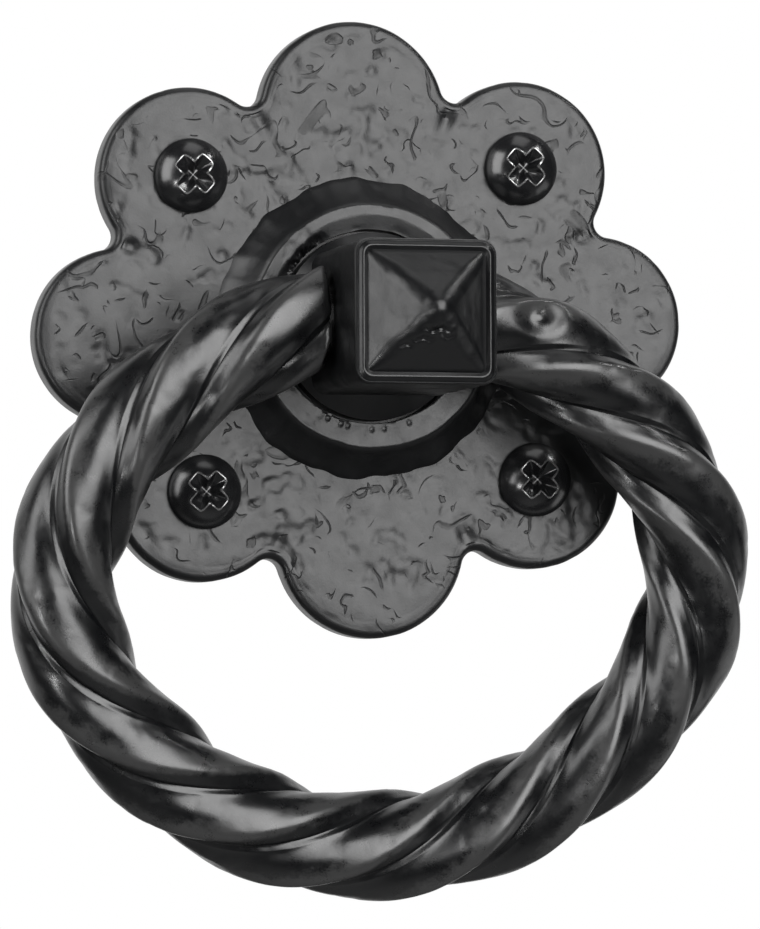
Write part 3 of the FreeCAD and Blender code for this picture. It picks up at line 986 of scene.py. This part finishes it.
steelPaint = steelMaterial(steel)
for node in ("back_washer", "retaining_clip"):
    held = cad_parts[node].data.materials
    held.clear()
    held.append(steelPaint)
print("steel pieces dressed")


# Studio: white behind the part, soft boxes in front, left and above, a fill, two sparks and a pale floor

studio = {
    "floorDrop": 1.6, "floorHalf": 3.0, "floorGrain": 30.0, "floorRough": 0.9,
    "floorDark": (0.78, 0.78, 0.78, 1), "floorLight": (0.82, 0.82, 0.82, 1),
    "dim": 0.014, "behind": (0.28, 0.62),
    "lamps": (
        # name, azimuth, elevation, distance, width, height, brightness
        ("frontSoftbox", 18.0, 13.0, 1.10, 0.90, 1.10, 6.1),
        ("leftSoftbox", -71.0, 20.0, 1.00, 0.52, 1.00, 4.4),
        ("topSoftbox", 60.0, 78.0, 1.00, 0.60, 0.50, 1.1),
        ("rightSpark", 77.0, 43.0, 0.80, 0.06, 0.06, 45.0),
        ("rightFill", 96.0, -34.0, 1.00, 0.60, 0.50, 0.8),
        ("leftSpark", -46.0, -16.0, 0.80, 0.08, 0.06, 60.0),
    ),
    "camera": {"place": (-0.17486, -0.68160, -0.04262), "azimuth": -14.583, "elevation": -1.984,
               "roll": -2.53, "lens": 201.32, "sensor": 36.0, "clip": (0.05, 50.0)},
}
white = (1, 1, 1, 1)


def bearing(azimuth, elevation):
    a, e = math.radians(azimuth), math.radians(elevation)
    return Vector((math.sin(a) * math.cos(e), -math.cos(a) * math.cos(e), math.sin(e)))


def addLamp(name, azimuth, elevation, distance, width, height, brightness):
    data = bpy.data.lights.new(name, "AREA")
    data.shape = "RECTANGLE"
    data.size, data.size_y = width, height
    data.energy = brightness * math.pi * width * height
    lamp = bpy.data.objects.new(name, data)
    lamp.location = bearing(azimuth, elevation) * distance
    lamp.rotation_euler = bearing(azimuth, elevation).to_track_quat("Z", "Y").to_euler()
    bpy.context.scene.collection.objects.link(lamp)


def makeWorld(look):
    # White where the camera looks and, in reflections, behind the part; dim grey elsewhere.
    world = bpy.data.worlds.new("studio")
    world.use_nodes = True
    tree = world.node_tree
    rays = tree.nodes.new("ShaderNodeLightPath").outputs
    toward = split(tree, put(tree, "ShaderNodeTexCoord", {}, out="Generated"))
    behind = remap(tree, toward["Y"], *look["behind"])
    shown = calc(tree, "MAXIMUM", rays["Is Camera Ray"], rays["Is Transmission Ray"])
    shown = calc(tree, "MAXIMUM", shown, calc(tree, "MULTIPLY", rays["Is Glossy Ray"], behind))
    colour = mixColour(tree, shown, (look["dim"],) * 3 + (1,), white)
    tree.links.new(colour, tree.nodes["Background"].inputs["Color"])
    bpy.context.scene.world = world


def makeFloor(look):
    mesh = bpy.data.meshes.new("floor")
    size, z = look["floorHalf"], -look["floorDrop"]
    corners = [(-size, -size, z), (size, -size, z), (size, size, z), (-size, size, z)]
    mesh.from_pydata(corners, [], [(0, 1, 2, 3)])
    made, tree, shader = newMaterial("floorPale")
    cloud = put(tree, "ShaderNodeTexNoise", {"Vector": objectPlace(tree), "Scale": look["floorGrain"]})
    tint = mixColour(tree, cloud, look["floorDark"], look["floorLight"])
    tree.links.new(tint, shader.inputs["Base Color"])
    shader.inputs["Roughness"].default_value = look["floorRough"]
    # Bright to the camera only, so that it stays pale without lighting the part from below
    rays = tree.nodes.new("ShaderNodeLightPath").outputs
    shader.inputs["Emission Color"].default_value = white
    tree.links.new(rays["Is Camera Ray"], shader.inputs["Emission Strength"])
    mesh.materials.append(made)
    addPiece("floor", mesh)


def makeCamera(view):
    data = bpy.data.cameras.new("camera")
    data.lens = view["lens"]
    data.sensor_width = view["sensor"]
    data.clip_start, data.clip_end = view["clip"]
    back = bearing(view["azimuth"], view["elevation"])
    right = Vector((0, 0, 1)).cross(back).normalized()
    up = back.cross(right)
    tilt = math.radians(view["roll"])
    across = right * math.cos(tilt) + up * math.sin(tilt)
    upward = up * math.cos(tilt) - right * math.sin(tilt)
    camera = bpy.data.objects.new("camera", data)
    turn = Matrix((across, upward, back)).transposed().to_4x4()
    camera.matrix_world = Matrix.Translation(view["place"]) @ turn
    bpy.context.scene.collection.objects.link(camera)
    bpy.context.scene.camera = camera


for lamp in studio["lamps"]:
    addLamp(*lamp)
makeWorld(studio)
makeFloor(studio)
makeCamera(studio["camera"])
bpy.context.scene.view_settings.view_transform = "Standard"
print("studio set")
